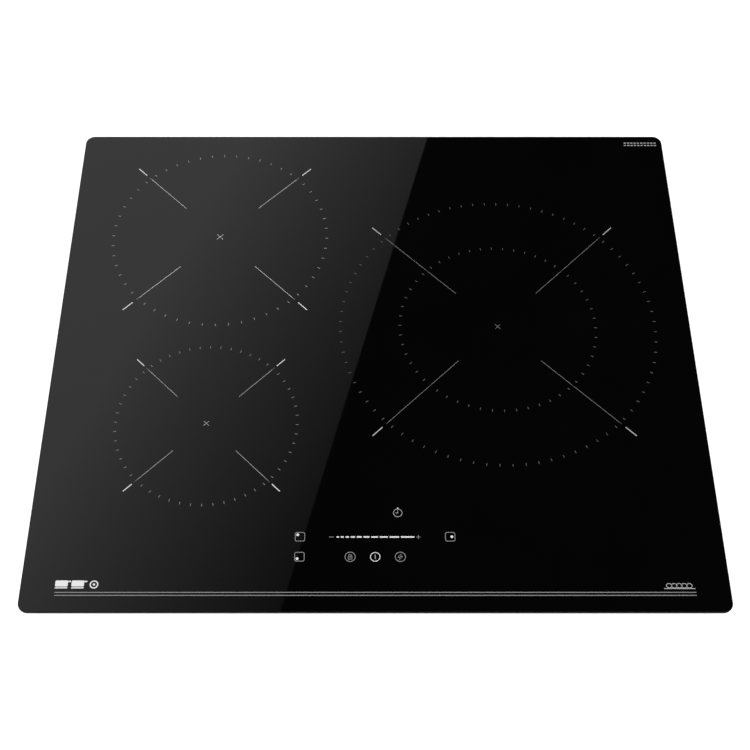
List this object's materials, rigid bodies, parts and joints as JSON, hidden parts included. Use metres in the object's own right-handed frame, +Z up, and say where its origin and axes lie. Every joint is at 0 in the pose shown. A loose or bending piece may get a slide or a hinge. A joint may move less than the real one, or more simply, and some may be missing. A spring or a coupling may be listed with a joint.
{
  "type": "induction hob",
  "caption": "Built-in induction hob: flat black glass-ceramic plate with printed cooking zones and touch slider over a shallow sheet-steel casing with coils and fan",
  "frame": {"origin": "centre of the glass plate outline, on the plane of the stand-off pads under the casing", "axes": "+Z up through the plate, +X to the right seen by the cook, +Y towards the rear wall, front edge at -Y"},
  "size_m": [0.59, 0.52, 0.0562],
  "materials": {
    "adhesive": "cured silicone",
    "zinc_screw": "zinc-plated",
    "connector_white": "moulded nylon",
    "tray_plastic": "moulded, flame-retardant",
    "terminal_plastic": "moulded, matt black",
    "spring_steel": "zinc-plated strip",
    "enamel_print": "fired white enamel",
    "galvanised_steel": "hot-dip galvanised sheet with fine spangle",
    "fan_plastic": "moulded, satin",
    "coil_plastic": "glass-filled, matt",
    "ferrite": "sintered, matt dark grey",
    "mica": "pressed mica sheet",
    "copper_litz": "enamelled copper strands",
    "glass_ceramic": "polished black glass-ceramic, opaque",
    "aluminium_sheet": "mill finish",
    "led_amber": "clear lens, unlit",
    "board_green": "solder-masked laminate",
    "component_black": "moulded epoxy",
    "capacitor_blue": "potted box",
    "ribbon_grey": "flat cable",
    "foam_seal": "closed-cell foam",
    "sensor_metal": "alumina cap",
    "brass_terminal": "nickel-free brass"
  },
  "bodies": {
    "hob": {"adhesive_beads": "adhesive", "base_screws": "zinc_screw", "board_connectors": "connector_white", "board_tray": "tray_plastic", "cable_bush": "terminal_plastic", "casing_screws": "zinc_screw", "clamp_screws": "zinc_screw", "coil_springs": "spring_steel", "control_holder": "tray_plastic", "corner_marks_print": "enamel_print", "end_rails": "galvanised_steel", "fan_housing": "fan_plastic", "fan_shaft": "zinc_screw", "front_left_coil_base": "coil_plastic", "front_left_ferrites": "ferrite", "front_left_mica": "mica", "front_left_winding": "copper_litz", "front_left_zone_print": "enamel_print", "front_lines_print": "enamel_print", "glass_plate": "glass_ceramic", "heat_sink": "aluminium_sheet", "indicator_lights": "led_amber", "key_springs": "spring_steel", "key_symbols_print": "enamel_print", "left_coil_carrier": "aluminium_sheet", "lower_casing": "galvanised_steel", "mains_choke": "copper_litz", "power_board": "board_green", "power_transistors": "component_black", "rear_left_coil_base": "coil_plastic", "rear_left_ferrites": "ferrite", "rear_left_mica": "mica", "rear_left_winding": "copper_litz", "rear_left_zone_print": "enamel_print", "resonance_capacitors": "capacitor_blue", "ribbon_cable": "ribbon_grey", "right_coil_base": "coil_plastic", "right_coil_carrier": "aluminium_sheet", "right_ferrites": "ferrite", "right_inner_winding": "copper_litz", "right_mica": "mica", "right_outer_winding": "copper_litz", "right_zone_print": "enamel_print", "side_rails": "galvanised_steel", "slider_electrode": "foam_seal", "slider_print": "enamel_print", "smoothing_capacitors": "capacitor_blue", "temperature_sensors": "sensor_metal", "terminal_block": "connector_white", "terminal_box": "terminal_plastic", "terminal_screws": "brass_terminal", "touch_board": "board_green", "weld_nuts": "zinc_screw", "worktop_seal": "foam_seal"},
    "terminal_cover": {"terminal_cover": "terminal_plastic"},
    "fan_rotor": {"fan_rotor": "fan_plastic"},
    "front_left_clamp": {"front_left_clamp": "spring_steel"},
    "front_right_clamp": {"front_right_clamp": "spring_steel"},
    "rear_left_clamp": {"rear_left_clamp": "spring_steel"},
    "rear_right_clamp": {"rear_right_clamp": "spring_steel"}
  },
  "joints": [
    {"name": "fan_spin", "type": "hinge", "parent": "hob", "child": "fan_rotor", "pos_m": [0.14, -0.04, 0.018], "axis": [0, 0, 1], "continuous": true},
    {"name": "terminal_cover_hinge", "type": "hinge", "parent": "hob", "child": "terminal_cover", "pos_m": [0.184, 0.2426, 0.032], "axis": [1, 0, 0], "range_deg": [0, 100]},
    {"name": "front_left_clamp_swivel", "type": "hinge", "parent": "hob", "child": "front_left_clamp", "pos_m": [-0.252, -0.15, 0.003], "axis": [0, 0, 1], "range_deg": [0, 90]},
    {"name": "front_right_clamp_swivel", "type": "hinge", "parent": "hob", "child": "front_right_clamp", "pos_m": [0.252, -0.15, 0.003], "axis": [0, 0, -1], "range_deg": [0, 90]},
    {"name": "rear_left_clamp_swivel", "type": "hinge", "parent": "hob", "child": "rear_left_clamp", "pos_m": [-0.252, 0.15, 0.003], "axis": [0, 0, -1], "range_deg": [0, 90]},
    {"name": "rear_right_clamp_swivel", "type": "hinge", "parent": "hob", "child": "rear_right_clamp", "pos_m": [0.252, 0.15, 0.003], "axis": [0, 0, 1], "range_deg": [0, 90]}
  ]
}
